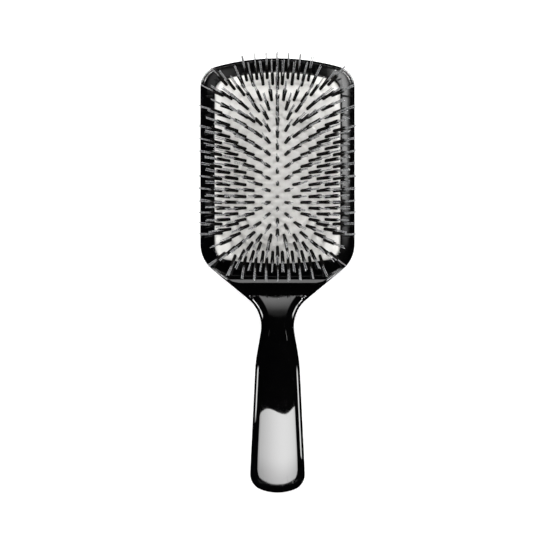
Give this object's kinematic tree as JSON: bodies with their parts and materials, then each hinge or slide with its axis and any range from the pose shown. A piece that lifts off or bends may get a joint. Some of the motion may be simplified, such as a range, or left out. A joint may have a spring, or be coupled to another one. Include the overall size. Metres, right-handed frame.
{
  "type": "paddle brush",
  "caption": "Paddle brush with a domed rubber pad clamped in a wide rounded head, staggered bristle tufts with longer nylon filaments, and a slim handle.",
  "frame": {"origin": "on the flat back, at the middle of the bounding box, with the brush lying on its back", "axes": "+Y from the handle's end to the top of the head, +Z out of the bristles, +X to the right seen from the bristle side"},
  "size_m": [0.085, 0.24, 0.0398],
  "materials": {
    "body_black": "polished black moulding",
    "frame_black": "polished black snap-in frame",
    "ivory_rubber": "soft matt ivory rubber",
    "bristle": "dark natural bristle with a slight sheen",
    "nylon": "translucent filament",
    "staple_steel": "drawn wire"
  },
  "bodies": {
    "paddle": {"paddle_body": "body_black", "cushion_frame": "frame_black"},
    "cushion": {"cushion": "ivory_rubber"},
    "tufts_01": {"bristles_01": "bristle", "nylon_01": "nylon", "staples_01": "staple_steel"},
    "tufts_02": {"bristles_02": "bristle", "nylon_02": "nylon", "staples_02": "staple_steel"},
    "tufts_03": {"bristles_03": "bristle", "nylon_03": "nylon", "staples_03": "staple_steel"},
    "tufts_04": {"bristles_04": "bristle", "nylon_04": "nylon", "staples_04": "staple_steel"},
    "tufts_05": {"bristles_05": "bristle", "nylon_05": "nylon", "staples_05": "staple_steel"},
    "tufts_06": {"bristles_06": "bristle", "nylon_06": "nylon", "staples_06": "staple_steel"},
    "tufts_07": {"bristles_07": "bristle", "nylon_07": "nylon", "staples_07": "staple_steel"},
    "tufts_08": {"bristles_08": "bristle", "nylon_08": "nylon", "staples_08": "staple_steel"},
    "tufts_09": {"bristles_09": "bristle", "nylon_09": "nylon", "staples_09": "staple_steel"},
    "tufts_10": {"bristles_10": "bristle", "nylon_10": "nylon", "staples_10": "staple_steel"},
    "tufts_11": {"bristles_11": "bristle", "nylon_11": "nylon", "staples_11": "staple_steel"},
    "tufts_12": {"bristles_12": "bristle", "nylon_12": "nylon", "staples_12": "staple_steel"},
    "tufts_13": {"bristles_13": "bristle", "nylon_13": "nylon", "staples_13": "staple_steel"},
    "tufts_14": {"bristles_14": "bristle", "nylon_14": "nylon", "staples_14": "staple_steel"},
    "tufts_15": {"bristles_15": "bristle", "nylon_15": "nylon", "staples_15": "staple_steel"}
  },
  "joints": [
    {"name": "cushion_press", "type": "slide", "parent": "paddle", "child": "cushion", "axis": [0, 0, 1], "range_m": [-0.002, 0], "stiffness_N_per_m": 3000, "deforming": ["cushion"]},
    {"name": "tufts_01_rock", "type": "hinge", "parent": "cushion", "child": "tufts_01", "pos_m": [-0.03136, 0.0596, 0.01206], "axis": [0, 1, 0], "range_deg": [-6, 6], "stiffness_Nm_per_rad": 0.06},
    {"name": "tufts_02_rock", "type": "hinge", "parent": "cushion", "child": "tufts_02", "pos_m": [-0.02688, 0.0596, 0.01231], "axis": [0, 1, 0], "range_deg": [-6, 6], "stiffness_Nm_per_rad": 0.06},
    {"name": "tufts_03_rock", "type": "hinge", "parent": "cushion", "child": "tufts_03", "pos_m": [-0.0224, 0.0596, 0.01252], "axis": [0, 1, 0], "range_deg": [-6, 6], "stiffness_Nm_per_rad": 0.06},
    {"name": "tufts_04_rock", "type": "hinge", "parent": "cushion", "child": "tufts_04", "pos_m": [-0.01792, 0.0596, 0.01269], "axis": [0, 1, 0], "range_deg": [-6, 6], "stiffness_Nm_per_rad": 0.06},
    {"name": "tufts_05_rock", "type": "hinge", "parent": "cushion", "child": "tufts_05", "pos_m": [-0.01344, 0.0596, 0.01283], "axis": [0, 1, 0], "range_deg": [-6, 6], "stiffness_Nm_per_rad": 0.06},
    {"name": "tufts_06_rock", "type": "hinge", "parent": "cushion", "child": "tufts_06", "pos_m": [-0.00896, 0.0596, 0.01292], "axis": [0, 1, 0], "range_deg": [-6, 6], "stiffness_Nm_per_rad": 0.06},
    {"name": "tufts_07_rock", "type": "hinge", "parent": "cushion", "child": "tufts_07", "pos_m": [-0.00448, 0.0596, 0.01298], "axis": [0, 1, 0], "range_deg": [-6, 6], "stiffness_Nm_per_rad": 0.06},
    {"name": "tufts_08_rock", "type": "hinge", "parent": "cushion", "child": "tufts_08", "pos_m": [0, 0.0596, 0.013], "axis": [0, 1, 0], "range_deg": [-6, 6], "stiffness_Nm_per_rad": 0.06},
    {"name": "tufts_09_rock", "type": "hinge", "parent": "cushion", "child": "tufts_09", "pos_m": [0.00448, 0.0596, 0.01298], "axis": [0, 1, 0], "range_deg": [-6, 6], "stiffness_Nm_per_rad": 0.06},
    {"name": "tufts_10_rock", "type": "hinge", "parent": "cushion", "child": "tufts_10", "pos_m": [0.00896, 0.0596, 0.01292], "axis": [0, 1, 0], "range_deg": [-6, 6], "stiffness_Nm_per_rad": 0.06},
    {"name": "tufts_11_rock", "type": "hinge", "parent": "cushion", "child": "tufts_11", "pos_m": [0.01344, 0.0596, 0.01283], "axis": [0, 1, 0], "range_deg": [-6, 6], "stiffness_Nm_per_rad": 0.06},
    {"name": "tufts_12_rock", "type": "hinge", "parent": "cushion", "child": "tufts_12", "pos_m": [0.01792, 0.0596, 0.01269], "axis": [0, 1, 0], "range_deg": [-6, 6], "stiffness_Nm_per_rad": 0.06},
    {"name": "tufts_13_rock", "type": "hinge", "parent": "cushion", "child": "tufts_13", "pos_m": [0.0224, 0.0596, 0.01252], "axis": [0, 1, 0], "range_deg": [-6, 6], "stiffness_Nm_per_rad": 0.06},
    {"name": "tufts_14_rock", "type": "hinge", "parent": "cushion", "child": "tufts_14", "pos_m": [0.02688, 0.0596, 0.01231], "axis": [0, 1, 0], "range_deg": [-6, 6], "stiffness_Nm_per_rad": 0.06},
    {"name": "tufts_15_rock", "type": "hinge", "parent": "cushion", "child": "tufts_15", "pos_m": [0.03136, 0.0596, 0.01206], "axis": [0, 1, 0], "range_deg": [-6, 6], "stiffness_Nm_per_rad": 0.06}
  ]
}
